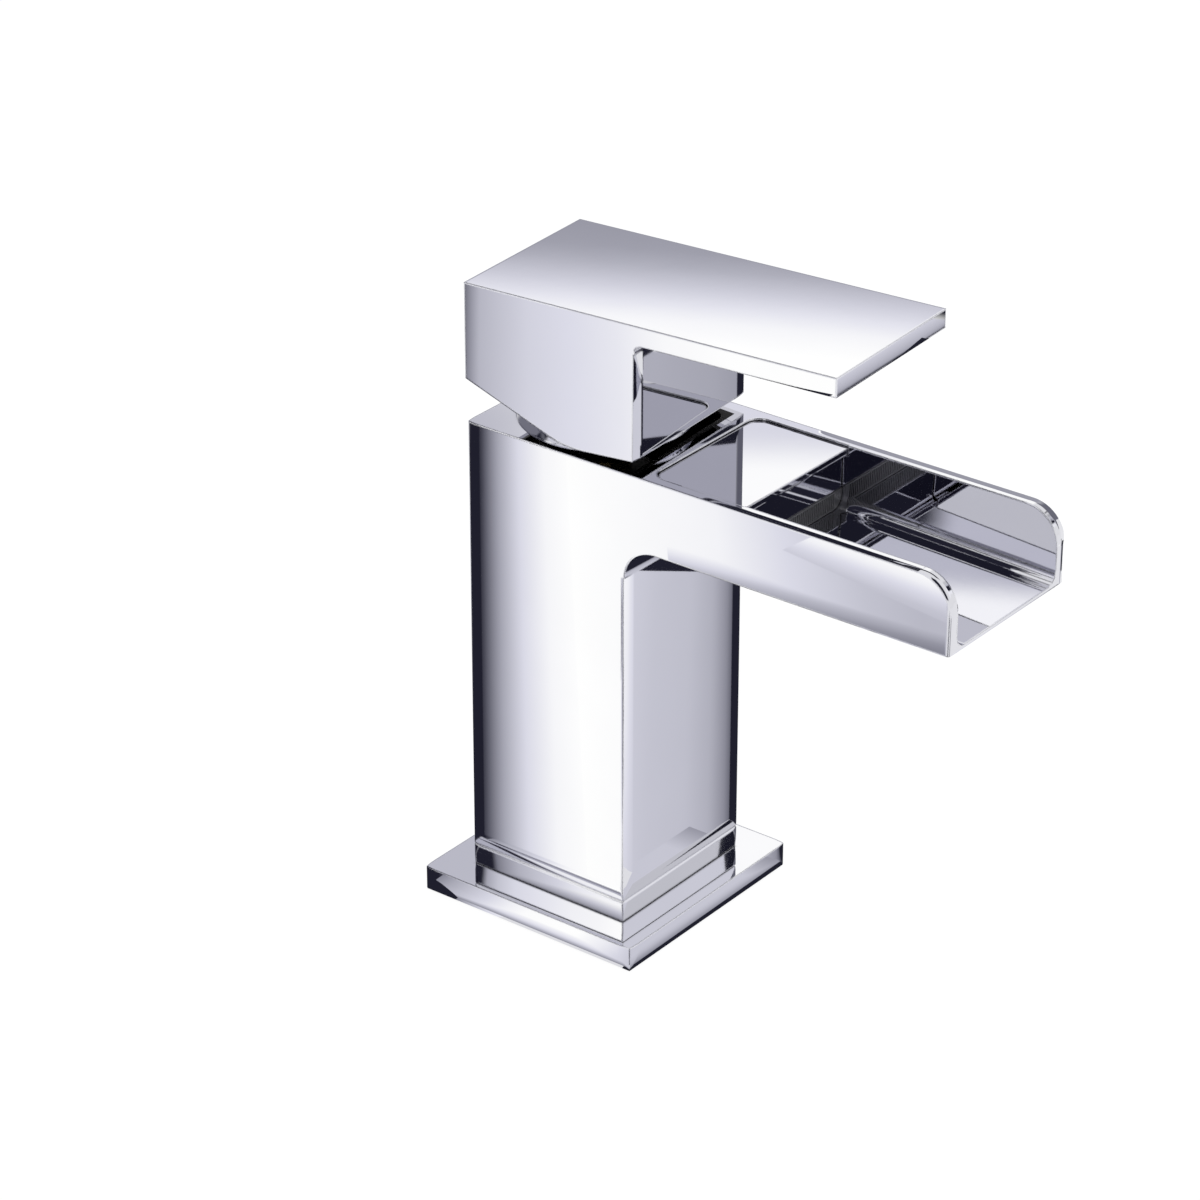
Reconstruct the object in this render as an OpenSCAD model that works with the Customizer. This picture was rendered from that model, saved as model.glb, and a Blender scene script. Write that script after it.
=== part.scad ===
// Waterfall basin faucet: a square column with an open trough spout, one lever and a ceramic disc cartridge.
// Z is up, the spout points to -Y and the origin is the column's axis on the deck plane.

/* [Base plate] */
// Width of the square base plate
plate_w = 60; // [54:1:80]
// Thickness of the base plate
plate_h = 6; // [4:0.5:10]
// Rounding of the base plate's upright edges
plate_edge_r = 0.6; // [0.2:0.1:2]
// Width of the square gasket under the base plate
gasket_w = 50; // [44:1:52]
// Thickness of the gasket, set flush into the base plate
gasket_h = 2; // [1:0.5:3]

/* [Column] */
// Width and depth of the square column
column_w = 44; // [44:0.5:50]
// Height of the column above the base plate
column_h = 113.4; // [105:0.1:160]
// Rounding of the column's and spout's upright edges
column_edge_r = 0.8; // [0.3:0.1:2]
// Width of the strip along the polished faces' edges in which they fall away
shoulder_w = 3.4; // [2:0.1:4.5]
// Radius of the arc by which they fall away there
shoulder_r = 16.5; // [12:0.5:20]
// Height of the drawn-in band at the column's foot
foot_h = 5.5; // [3:0.5:9]
// How far the foot band draws in on each side
foot_draw = 0.4; // [0.1:0.1:1]
// Depth of the groove along the top of the foot band
foot_groove = 0.5; // [0.3:0.1:0.8]
// Radius of the locating spigot that stands in the base plate
spigot_r = 16.9; // [16:0.1:19]

/* [Spout] */
// Reach of the spout from the column's axis
spout_reach = 106.4; // [95:0.1:150]
// Height of the spout's side walls
spout_h = 17.5; // [17:0.5:22]
// Thickness of the spout's side walls
spout_wall = 3; // [2.5:0.1:4]
// Radius of the nose at the top front of each side wall
nose_r = 8.3; // [4:0.1:12]
// Radius of the fillet where the spout's underside meets the column
root_r = 8; // [4:0.5:15]
// Radius of the trough's two bottom corners
trough_r = 3; // [1:0.25:5]
// Thickness of the trough's floor at the front lip
lip_h = 0.8; // [0.6:0.1:2]
// Fall of the trough's floor towards the lip, in degrees
floor_fall = 1.7; // [0.5:0.1:2.5]

/* [Trough cover] */
// Distance from the column's axis to the cover plate's rear edge
cover_y0 = 27.2; // [25:0.1:30]
// Distance from the column's axis to the cover plate's front edge
cover_y1 = 52; // [48:0.5:60]
// Thickness of the cover plate and its front apron
cover_t = 1.5; // [1:0.1:2]
// Depth of the cover plate's face below the spout's rim
cover_drop = 0.5; // [0.2:0.1:1.5]
// Radius of the cover plate's rear corners
cover_r = 3.5; // [1:0.5:6]
// How far the cover plate's recess is cut into the spout's side walls
cover_inset = 0.3; // [0.2:0.05:1]
// Gap all round the cover plate
cover_gap = 0.2; // [0.1:0.05:0.5]
// How far the plate overhangs its front apron
cover_overhang = 1.3; // [0.8:0.1:2.5]
// Width of the ledge that carries the cover plate
ledge_w = 2; // [1.5:0.25:3]
// Thickness of the gasket on the ledge
ledge_seal_h = 0.4; // [0.2:0.1:0.8]

/* [Flow straightener] */
// Height of the outlet slot under the apron
slot_h = 4.6; // [3:0.1:6]
// Depth of the straightener along the flow
comb_d = 4; // [2:0.5:6]
// Spacing of the straightener's fins
fin_pitch = 0.72; // [0.6:0.02:1.6]
// Width of the passages between the fins
fin_gap = 0.4; // [0.3:0.02:0.5]

/* [Handle] */
// Width of the handle
handle_w = 44; // [40:0.5:50]
// Depth of the handle's block, front to back
block_d = 44.8; // [44:0.2:50]
// Height of the top rear edge of the handle above the column
handle_top = 33.8; // [32:0.1:45]
// Rise of the lever's top face towards the front, in degrees
lever_rise = 1; // [0:0.25:4]
// Length of the lever from the column's axis
lever_len = 72.9; // [60:0.1:100]
// Thickness of the lever
lever_t = 4.5; // [3.5:0.1:6]
// Fillet between the block and the lever's underside
lever_fillet = 1.5; // [0.5:0.25:4]
// Wall of the hollow block
block_wall = 3; // [2.5:0.25:4]
// Gap between the column's top and the lowest line of the block, before that line is rounded
block_gap = 1.3; // [1:0.05:3]
// Height of the block's rear bottom edge above the column
block_rear_gap = 11; // [10.5:0.1:14]
// Height of the block's front bottom edge above the column
block_front_gap = 2.6; // [2:0.1:5]
// How far forward of the axis the block's lowest line lies
block_low_y = 4.4; // [2:0.1:8]
// Radius of the bend along the block's lowest line
block_low_r = 22; // [10:1:30]
// Angle at which the lever stands turned, in degrees
rest_turn = 3; // [-10:1:10]

/* [Cartridge] */
// Radius of the cartridge
cart_r = 17.4; // [17.2:0.1:17.6]
// Clearance round the cartridge in its pocket
cart_gap = 0.4; // [0.2:0.1:0.6]
// Depth of the cartridge pocket below the column's top
pocket_depth = 35.4; // [34:0.1:40]
// Radius of the threaded bore for the retaining nut
nut_bore_r = 19; // [18.9:0.05:19.2]
// Height of the cartridge's shoulder above its seat
shoulder_h = 27; // [27:0.1:28]
// Radius of the cartridge's neck
neck_r = 13.5; // [13.4:0.1:14]
// Height of the retaining nut
nut_h = 6.4; // [5:0.1:7]
// Radius of the two inlet ports
port_r = 2.6; // [2:0.1:2.8]
// Distance of the inlet ports to the side of the axis
port_x = 8; // [7:0.1:8.2]
// Distance of the inlet ports in front of the axis
port_y = 3.5; // [3.2:0.1:4]
// Radius of the outlet port
outlet_r = 3.4; // [2.5:0.1:3.6]
// Distance of the outlet port behind the axis
outlet_y = 6.5; // [5.5:0.1:7.2]
// Width of the square stem
stem_w = 8; // [7:0.1:8.2]
// Height of the stem's pivot above the cartridge's seat
pivot_h = 26; // [25:0.1:27]
// Distance from the pivot down to the centre of the stem's ball
ball_drop = 10; // [9:0.1:10.4]
// Radius of the stem's ball
ball_r = 2.8; // [2.4:0.1:3]
// Radius of the pivot pin
pin_r = 1.5; // [1:0.1:2]
// Turn of the stem to each side, in degrees
turn_half = 45; // [30:1:50]
// Lift of the stem from closed to open, in degrees
lift_max = 22; // [18:1:24]

/* [Dome cover] */
// Radius of the dome's foot on the column
dome_r = 20; // [19.5:0.1:21]
// Outer radius of the dome's sphere
dome_sphere_r = 25.8; // [24:0.1:32]
// Thickness of the dome
dome_t = 1.2; // [0.8:0.1:1.6]
// Radius of the dome's opening for the stem
dome_hole_r = 12.8; // [12.4:0.1:13.4]

/* [Deck connections] */
// Radius of the threaded holes for the inlet hoses
inlet_r = 4.45; // [4:0.05:5]
// Depth of the threaded holes for the inlet hoses
inlet_depth = 16; // [10:1:25]
// Radius of the threaded hole for the fixing stud
stud_r = 3.4; // [2.5:0.1:4.2]
// Depth of the threaded hole for the fixing stud
stud_depth = 20; // [12:1:30]
// Distance of the fixing stud behind the axis
stud_y = 9.5; // [8:0.5:12]

/* [Hidden] */
$fn = 64;

// Overrun of every cut past the face that it opens
over = 1;
// Clearance between pieces that touch or fit without moving
fit = 0.1;
// Radial clearance of a running fit
run = 0.05;

// Heights of the main levels
body_top = plate_h + column_h;
spout_z = body_top - spout_h;
seat_z = body_top - pocket_depth;
shoulder_z = seat_z + shoulder_h;
pivot_z = seat_z + pivot_h;
ball_z = pivot_z - ball_drop;
half_w = column_w / 2;

// Trough and cover
trough_half = half_w - spout_wall;
lip_z = spout_z + lip_h;
cover_top = body_top - cover_drop;
cover_z = cover_top - cover_t;
ledge_z = cover_z - ledge_seal_h;
apron_y = cover_y1 - cover_overhang;
comb_y = apron_y - comb_d;
comb_top = floor_z(apron_y) + slot_h;
comb_bar = fin_gap;

// Drilled waterways for the mixed water: across, forward, up both front corners and into the chamber
channel_r = 2.6;
cross_r = 2.4;
riser_r = 2.8;
drill_end = 3.2;
channel_x = 14.2;
channel_y = 17.6;
channel_rise = 6.3;
channel_z = spout_z + channel_rise;
mix_depth = 7.8;
mix_z = seat_z - mix_depth;
chamber_y = cover_y0 + ledge_w;

// O-ring between the column and the base plate
body_ring_r = 1;
body_ring_major = spigot_r + fit + 1.5 * body_ring_r;

// Cartridge stack, from the seat upwards
cart_flange_h = 4;
cart_spigot_h = 2;
cart_wall = 2.8;
chamber_r = cart_r - cart_wall;
disc_z = seat_z + cart_flange_h + cart_spigot_h;
lower_disc_h = 3;
upper_disc_h = 3.5;
lower_disc_r = chamber_r - 4 * fit;
disc_travel = ball_drop * lift_max * PI / 180;
upper_disc_r = chamber_r - disc_travel / 2 - 6 * fit;
coupler_z = disc_z + lower_disc_h + upper_disc_h;
coupler_h = 4.9;
coupler_pin_r = 1;
coupler_pin_h = 1.2;
ball_play = 0.25;
bush_z = coupler_z + coupler_h + 2 * fit;
bush_wall = 2;
carrier_step = 1.1;
carrier_r = neck_r - bush_wall;
carrier_neck_r = carrier_r - carrier_step;
carrier_ring_r = 0.9;
carrier_ring_z = (bush_z + pivot_z - stem_w / 2) / 2;
lip_t = 2.2;
neck_top = shoulder_z + nut_h - 2 * fit;
carrier_step_z = neck_top - lip_t - fit;
limit_h = 2;
limit_r = neck_r - fit;
limit_wall = 1.1;
tab_half = 10;
stop_play = 0.5;
tab_top = neck_top + limit_h;
slot_room = 1;
seal_r = 0.7;
mix_h = 1.4;
seal_land = 1;
lug_w = 2;
seat_pin_r = 1.4;
seat_pin_x = 12.5;
seat_pin_h = 2;

// Retaining nut and dome
nut_r = nut_bore_r - fit;
notch_w = 4;
notch_d = 2;
skirt_t = 1.3;
skirt_h = body_top - shoulder_z - nut_h - fit;
dome_c = body_top - sqrt(dome_sphere_r * dome_sphere_r - dome_r * dome_r);

// Stem and handle
leg_r = 2.2;
leg_h = 4;
crown_t = 7;
stem_top = body_top + handle_top - crown_t;
socket_gap = run;
block_half = block_d / 2;
boss_w = 2 * stem_w;
boss_rise = 12.1;
boss_z = body_top + boss_rise;
screw_r = 2.5;
screw_l = 8;
screw_z = (boss_z + stem_top) / 2;
plug_r = 4;
plug_t = 3;
screw_boss = 2 * plug_r + 2 * block_wall;

function floor_z(y) = lip_z + (spout_reach - y) * tan(floor_fall);
function top_z(y) = body_top + handle_top + (block_half - y) * tan(lever_rise);

// A square or oblong with true round corners, centred on the origin
module round_rect(w, d, r) {
    square([w - 2 * r, d], center = true);
    square([w, d - 2 * r], center = true);
    for (x = [-1, 1], y = [-1, 1])
        translate([x * (w / 2 - r), y * (d / 2 - r)]) circle(r);
}

// A side view, drawn as distance forward of the axis against height, extruded across the faucet
module across(w) {
    rotate([90, 0, -90]) linear_extrude(height = w, center = true) children();
}

// A front view extruded forward from one distance in front of the axis to another
module forward(y0, y1) {
    translate([0, -y0, 0]) rotate([90, 0, 0]) linear_extrude(height = y1 - y0) children();
}

// A wedge that opens to the front, half_angle to each side
module front_wedge(half_angle, r) {
    far = 2 * r;
    polygon([[0, 0], [-far * sin(half_angle), -far * cos(half_angle)], [0, -far],
        [far * sin(half_angle), -far * cos(half_angle)]]);
}

// Everything that turns with the lever stands turned by rest_turn
module turned() {
    rotate([0, 0, rest_turn]) children();
}

// A place for each of the cartridge's three ports
module at_inlets() {
    for (x = [-port_x, port_x]) translate([x, -port_y, 0]) children();
}

module at_outlet() {
    translate([0, outlet_y, 0]) children();
}

// One end of an oblong of width w, in which its two sides fall away along arcs; the end lies at y = 0
module soft_end(w) {
    intersection() {
        union() {
            for (x = [-1, 1]) translate([x * (w / 2 - shoulder_r), -shoulder_w]) circle(shoulder_r);
            translate([0, -shoulder_w]) square([max(w - 2 * shoulder_r, shoulder_w), shoulder_r], center = true);
        }
        translate([-w / 2, -shoulder_w]) square([w, shoulder_w]);
    }
}

// An oblong whose two sides fall away towards its rear end and, if both is set, towards its front end
module soft_band(w, d, both) {
    translate([0, d / 2]) soft_end(w);
    if (both) mirror([0, 1]) translate([0, d / 2]) soft_end(w);
    translate([-w / 2, both ? shoulder_w - d / 2 : -d / 2])
        square([w, both ? d - 2 * shoulder_w : d - shoulder_w]);
}

// An oblong with soft shoulders at its corners; the front corners' sides stay flat unless both is set
module soft_rect(w, d, both) {
    intersection() {
        soft_band(w, d, both);
        rotate(90) soft_band(d, w, true);
    }
}

// Front or side view of the column: the foot band, the groove over it and the shoulder above that
module column_2d() {
    groove_z = plate_h + foot_h;
    neck = half_w - foot_groove;
    polygon([[-half_w + foot_draw, plate_h], [half_w - foot_draw, plate_h],
        [half_w - fit, groove_z - foot_groove], [neck, groove_z],
        [-neck, groove_z], [-half_w + fit, groove_z - foot_groove]]);
    translate([0, groove_z]) mirror([0, 1]) soft_end(column_w);
    translate([-half_w, groove_z + shoulder_w]) square([column_w, body_top - groove_z - shoulder_w]);
}

// Side view of column and spout, with the nose and the root fillet
module body_side_2d() {
    column_2d();
    translate([0, spout_z]) square([spout_reach - nose_r, spout_h]);
    translate([0, spout_z]) square([spout_reach, spout_h - nose_r]);
    translate([spout_reach - nose_r, body_top - nose_r]) circle(nose_r);
    difference() {
        translate([half_w - over, spout_z - root_r]) square([root_r + over, root_r + over]);
        translate([half_w + root_r, spout_z - root_r]) circle(root_r);
    }
}

module body_shell() {
    intersection() {
        across(column_w) body_side_2d();
        forward(-half_w, spout_reach) column_2d();
        union() {
            linear_extrude(height = body_top) intersection() {
                soft_rect(column_w, column_w, false);
                round_rect(column_w, column_w, column_edge_r);
            }
            translate([0, 0, spout_z - root_r]) linear_extrude(height = spout_h + root_r) intersection() {
                round_rect(column_w, 2 * spout_reach, column_edge_r);
                translate([-half_w, -spout_reach]) square([column_w, spout_reach]);
            }
        }
    }
}

// Cross-section of the trough, with its two bottom corners rounded
module trough_2d(half, corner) {
    translate([-half, corner]) square([2 * half, spout_h]);
    translate([-half + corner, 0]) square([2 * (half - corner), spout_h]);
    for (x = [-1, 1]) translate([x * (half - corner), corner]) circle(corner);
}

// The trough's hollow between two distances in front of the axis, on its falling floor
module trough_space(half, y0, y1, corner) {
    translate([0, -y1, floor_z(y1)]) rotate([floor_fall, 0, 0])
        translate([0, y1, 0]) forward(y0, y1) trough_2d(half, corner);
}

module trough() {
    // open trough in front of the straightener
    trough_space(trough_half, comb_y, spout_reach + over, trough_r);
    // covered chamber behind it
    trough_space(trough_half - ledge_w, chamber_y, comb_y + over, trough_r);
    // recess for the cover plate
    cover_recess(0, ledge_z, spout_h);
}

// Outline of the cover plate, less a gap, from one height up
module cover_recess(gap, z, h) {
    y0 = cover_y0 - cover_gap + gap;
    w = 2 * (trough_half + cover_inset - gap);
    d = cover_y1 - y0;
    translate([0, 0, z]) linear_extrude(height = h) intersection() {
        translate([0, -y0 - d]) round_rect(w, 2 * d, cover_r);
        translate([-half_w, -cover_y1]) square([column_w, d]);
    }
}

module waterways() {
    at_inlets() {
        translate([0, 0, -over]) cylinder(r = inlet_r, h = inlet_depth + over);
        cylinder(r = port_r, h = seat_z + over);
    }
    translate([0, stud_y, -over]) cylinder(r = stud_r, h = stud_depth + over);
    // mixed water: down from the outlet port and across, then forward, up and into the chamber
    at_outlet() translate([0, 0, mix_z]) {
        cylinder(r = outlet_r, h = seat_z - mix_z + over);
        rotate([0, 90, 0]) cylinder(r = cross_r, h = 2 * channel_x, center = true);
    }
    for (x = [-channel_x, channel_x]) translate([x, 0, 0]) {
        drilled(outlet_y + drill_end, -channel_y, mix_z);
        translate([0, -channel_y, mix_z - drill_end])
            cylinder(r = riser_r, h = channel_z - mix_z + 2 * drill_end);
        drilled(-channel_y, -chamber_y - over, channel_z);
    }
}

// A bore that runs forward from one y to another
module drilled(y0, y1, z) {
    translate([0, y0, z]) rotate([90, 0, 0]) cylinder(r = channel_r, h = y0 - y1);
}

// The cast body: column, trough spout, cartridge pocket and waterways
module faucet_body() {
    color("silver") difference() {
        union() {
            body_shell();
            cylinder(r = spigot_r, h = plate_h + over);
        }
        trough();
        waterways();
        // pocket and thread for the cartridge
        translate([0, 0, seat_z]) cylinder(r = cart_r + cart_gap, h = pocket_depth + over);
        translate([0, 0, shoulder_z]) cylinder(r = nut_bore_r, h = pocket_depth);
        for (x = [-seat_pin_x, seat_pin_x])
            translate([x, 0, seat_z - seat_pin_h - fit]) cylinder(r = seat_pin_r + fit, h = seat_pin_h + over);
        // groove for the O-ring round the spigot
        translate([0, 0, plate_h - over]) difference() {
            cylinder(r = body_ring_major + 1.5 * body_ring_r, h = over + 2 * body_ring_r);
            cylinder(r = spigot_r, h = over + 2 * body_ring_r);
        }
    }
}

// Side view of the base plate, whose edge faces fall away towards the deck
module plate_side_2d() {
    mirror([0, 1]) soft_end(plate_w);
    translate([-plate_w / 2, shoulder_w]) square([plate_w, plate_h - shoulder_w]);
}

// The square plate that covers the hole in the deck
module base_plate() {
    color("silver") difference() {
        intersection() {
            linear_extrude(height = plate_h) intersection() {
                soft_rect(plate_w, plate_w, true);
                round_rect(plate_w, plate_w, plate_edge_r);
            }
            across(plate_w) plate_side_2d();
            forward(-plate_w / 2, plate_w / 2) plate_side_2d();
        }
        translate([0, 0, -over]) cylinder(r = spigot_r + fit, h = plate_h + 2 * over);
        translate([0, 0, -over]) linear_extrude(height = gasket_h + over)
            round_rect(gasket_w, gasket_w, plate_edge_r);
    }
}

// Rubber gasket between the base plate and the deck
module base_gasket() {
    color("dimgray") difference() {
        linear_extrude(height = gasket_h)
            round_rect(gasket_w - 2 * fit, gasket_w - 2 * fit, plate_edge_r);
        translate([0, 0, -over]) cylinder(r = spigot_r + fit, h = gasket_h + 2 * over);
    }
}

module ring(major, r) {
    rotate_extrude() translate([major, 0]) circle(r);
}

module body_o_ring() {
    color("dimgray") translate([0, 0, plate_h + body_ring_r]) ring(body_ring_major, body_ring_r);
}

// The plate that roofs the water chamber, with the apron that closes it down to the outlet slot
module cover_plate() {
    color("silver") {
        cover_recess(cover_gap, cover_z, cover_t);
        across(2 * (trough_half - cover_gap)) difference() {
            translate([apron_y - cover_t, comb_top + fit])
                square([cover_t + cover_overhang - fit, cover_z + fit - comb_top]);
            translate([apron_y + cover_overhang, cover_z - cover_overhang]) circle(cover_overhang);
            translate([apron_y, comb_top]) square([2 * cover_overhang, cover_z - cover_overhang - comb_top]);
        }
    }
}

// Flat gasket on the ledge under the cover plate
module cover_gasket() {
    color("dimgray") difference() {
        cover_recess(cover_gap, ledge_z, ledge_seal_h);
        translate([0, 0, -over]) trough_column(trough_half - ledge_w, chamber_y, comb_y - fit);
        translate([0, 0, -over]) trough_column(half_w, comb_y - fit, cover_y1 + over);
    }
}

// An upright block over part of the trough, for cutting
module trough_column(half, y0, y1) {
    translate([-half, -y1, ledge_z]) cube([2 * half, y1 - y0 + fit, spout_h]);
}

// Comb of thin upright fins that calms the water before it leaves the slot
module flow_straightener() {
    half = trough_half - fit;
    count = floor((half - trough_r) / fin_pitch);
    color("lightgray") difference() {
        intersection() {
            translate([0, 0, fit]) trough_space(half, comb_y + fit, apron_y, trough_r);
            translate([-half, -apron_y - over, spout_z]) cube([2 * half, comb_d + 2 * over, comb_top - spout_z]);
        }
        for (i = [-count : count])
            translate([i * fin_pitch - fin_gap / 2, -apron_y - over, floor_z(comb_y) + comb_bar])
                cube([fin_gap, comb_d + 2 * over, comb_top - floor_z(comb_y) - 2 * comb_bar]);
    }
}

// Spherical trim that screws in above the retaining nut
module dome_cover() {
    color("silver") rotate_extrude() {
        intersection() {
            translate([0, dome_c]) difference() {
                circle(dome_sphere_r, $fn = 128);
                circle(dome_sphere_r - dome_t, $fn = 128);
            }
            translate([dome_hole_r, body_top]) square([dome_r, dome_r]);
        }
        translate([nut_r - skirt_t, body_top - skirt_h]) square([skirt_t, skirt_h + dome_t / 2]);
    }
}

// Threaded ring that holds the cartridge down on its seat
module retaining_nut() {
    color("goldenrod") translate([0, 0, shoulder_z]) difference() {
        cylinder(r = nut_r, h = nut_h);
        translate([0, 0, -over]) cylinder(r = neck_r + fit, h = nut_h + 2 * over);
        for (a = [0 : 90 : 270]) rotate([0, 0, a])
            translate([-notch_w / 2, neck_r, nut_h - notch_d]) cube([notch_w, nut_r, notch_d + over]);
    }
}

// Plastic case of the cartridge: disc chamber below, bearing for the stem carrier above
module cartridge_housing() {
    housing_z = seat_z + cart_flange_h;
    color("ivory") rotate_extrude() difference() {
        union() {
            translate([0, housing_z]) square([cart_r, shoulder_z - housing_z]);
            translate([0, shoulder_z]) square([neck_r, neck_top - shoulder_z]);
        }
        translate([0, housing_z - over]) square([chamber_r, bush_z - fit - housing_z + over]);
        translate([0, bush_z - over]) square([carrier_r + run, carrier_step_z + fit - bush_z + over]);
        translate([0, bush_z]) square([carrier_neck_r + run, pocket_depth]);
    }
}

// Foot of the cartridge, with the three ports, their seal grooves and two locating pins
module cartridge_base() {
    color("ivory") translate([0, 0, seat_z]) {
        difference() {
            union() {
                cylinder(r = cart_r, h = cart_flange_h);
                cylinder(r = chamber_r - fit, h = cart_flange_h + cart_spigot_h);
            }
            port_bores(-over, cart_flange_h + cart_spigot_h + 2 * over);
            // grooves for the seals, below and above
            port_grooves(-over);
            port_grooves(cart_flange_h + cart_spigot_h - 2 * seal_r);
        }
        for (x = [-seat_pin_x, seat_pin_x]) translate([x, 0, -seat_pin_h])
            cylinder(r = seat_pin_r, h = seat_pin_h + cart_flange_h / 2);
        for (x = [-1, 1]) translate([x * (chamber_r - lug_w / 2 - fit) - lug_w / 2, -lug_w / 2, cart_flange_h])
            cube([lug_w, lug_w, cart_spigot_h + lower_disc_h / 2]);
    }
}

module port_bores(z, h) {
    at_inlets() translate([0, 0, z]) cylinder(r = port_r, h = h);
    at_outlet() translate([0, 0, z]) cylinder(r = outlet_r, h = h);
}

module port_grooves(z) {
    at_inlets() translate([0, 0, z]) groove(port_r);
    at_outlet() translate([0, 0, z]) groove(outlet_r);
}

module groove(r) {
    cylinder(r = r + 2 * seal_r + fit, h = 2 * seal_r + over);
}

module port_rings(z) {
    at_inlets() translate([0, 0, z]) ring(port_r + seal_r, seal_r);
    at_outlet() translate([0, 0, z]) ring(outlet_r + seal_r, seal_r);
}

// Three O-rings between the cartridge and the body's seat
module port_seals() {
    color("dimgray") port_rings(seat_z + seal_r);
}

// Three O-rings between the cartridge's foot and the fixed disc
module disc_seals() {
    color("dimgray") port_rings(disc_z - seal_r);
}

// Fixed ceramic disc with its three ports, keyed to the cartridge's foot
module lower_disc() {
    color("white") difference() {
        translate([0, 0, disc_z]) cylinder(r = lower_disc_r, h = lower_disc_h);
        translate([0, 0, disc_z]) port_bores(-over, lower_disc_h + 2 * over);
        for (x = [-1, 1]) translate([x * (lower_disc_r - lug_w / 2), 0, disc_z])
            cube([2 * lug_w, lug_w + 2 * fit, lower_disc_h + 2 * fit], center = true);
    }
}

// Sliding ceramic disc; the recess in its underside joins the inlets to the outlet
module upper_disc() {
    shift = disc_travel / 2;
    // the recess starts just behind the inlets, so that the closed disc covers them
    mix_y0 = port_r - port_y + seal_land;
    mix_y1 = outlet_y + port_r;
    color("white") turned() translate([0, 0, disc_z + lower_disc_h]) difference() {
        translate([0, shift, 0]) cylinder(r = upper_disc_r, h = upper_disc_h);
        translate([0, (mix_y0 + mix_y1) / 2, -over]) linear_extrude(height = mix_h + over)
            round_rect(2 * port_x, mix_y1 - mix_y0, port_r);
        for (x = [-1, 1]) translate([x * (port_x + coupler_pin_r / 2), shift, upper_disc_h - coupler_pin_h - fit])
            cylinder(r = coupler_pin_r + fit, h = coupler_pin_h + over);
    }
}

// Plastic slider that carries the upper disc and is pushed by the stem's ball
module disc_coupler() {
    shift = disc_travel / 2;
    color("ivory") turned() translate([0, 0, coupler_z]) {
        difference() {
            translate([0, shift, 0]) cylinder(r = upper_disc_r, h = coupler_h);
            translate([0, 0, ball_z - coupler_z - ball_r - ball_play])
                cylinder(r = ball_r + ball_play, h = coupler_h + over);
        }
        for (x = [-1, 1]) translate([x * (port_x + coupler_pin_r / 2), shift, -coupler_pin_h])
            cylinder(r = coupler_pin_r, h = coupler_pin_h + coupler_h / 2);
    }
}

// Turning part of the cartridge: it carries the stem's pivot and the tab of the turning stop
module stem_carrier() {
    // how far the stem's faces swing at the carrier's top and bottom
    top_swing = (tab_top - pivot_z) * tan(lift_max) + stem_w / 2 / cos(lift_max) + slot_room / 2;
    low_swing = (pivot_z - bush_z) * tan(lift_max) + leg_r / cos(lift_max) + 2 * slot_room;
    half = stem_w / 2 + run;
    color("ivory") turned() difference() {
        union() {
            translate([0, 0, bush_z]) cylinder(r = carrier_r, h = carrier_step_z - bush_z);
            translate([0, 0, bush_z]) cylinder(r = carrier_neck_r, h = tab_top - bush_z);
            translate([0, 0, neck_top + fit]) linear_extrude(height = limit_h - 2 * fit) intersection() {
                circle(limit_r - limit_wall - fit);
                front_wedge(tab_half, limit_r);
            }
        }
        translate([-half, -half, pivot_z - slot_room]) cube([2 * half, half + top_swing, pocket_depth]);
        translate([-half, -low_swing, bush_z - over])
            cube([2 * half, low_swing + half, pivot_z - bush_z + over + slot_room]);
        translate([0, 0, pivot_z]) rotate([0, 90, 0])
            cylinder(r = pin_r + fit / 5, h = 2 * carrier_r + over, center = true);
        translate([0, 0, carrier_ring_z]) ring_groove();
    }
}

module ring_groove() {
    difference() {
        cylinder(r = carrier_r + over, h = 2 * carrier_ring_r, center = true);
        cylinder(r = carrier_r - 2 * carrier_ring_r, h = 3 * carrier_ring_r, center = true);
    }
}

// O-ring round the stem carrier
module carrier_o_ring() {
    color("dimgray") turned() translate([0, 0, carrier_ring_z]) ring(carrier_r - carrier_ring_r, carrier_ring_r);
}

// Steel pin on which the stem tilts
module pivot_pin() {
    color("lightgray") turned() translate([0, 0, pivot_z]) rotate([0, 90, 0])
        cylinder(r = pin_r, h = 2 * (carrier_r - slot_room), center = true);
}

// Stop ring round the carrier's neck; the tab swings in its open sector
module limit_ring() {
    color("firebrick") translate([0, 0, neck_top]) linear_extrude(height = limit_h) difference() {
        circle(limit_r);
        circle(carrier_neck_r + fit);
        intersection() {
            circle(limit_r - limit_wall);
            front_wedge(turn_half + tab_half + stop_play, limit_r);
        }
    }
}

// Square stem with the ball that pushes the slider
module stem() {
    color("goldenrod") turned() {
        difference() {
            translate([-stem_w / 2, -stem_w / 2, ball_z + leg_h])
                cube([stem_w, stem_w, stem_top - ball_z - leg_h]);
            translate([0, 0, pivot_z]) rotate([0, 90, 0])
                cylinder(r = pin_r + run, h = 2 * stem_w, center = true);
        }
        translate([0, 0, ball_z]) cylinder(r = leg_r, h = leg_h + fit);
        translate([0, 0, ball_z]) sphere(ball_r);
    }
}

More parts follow.
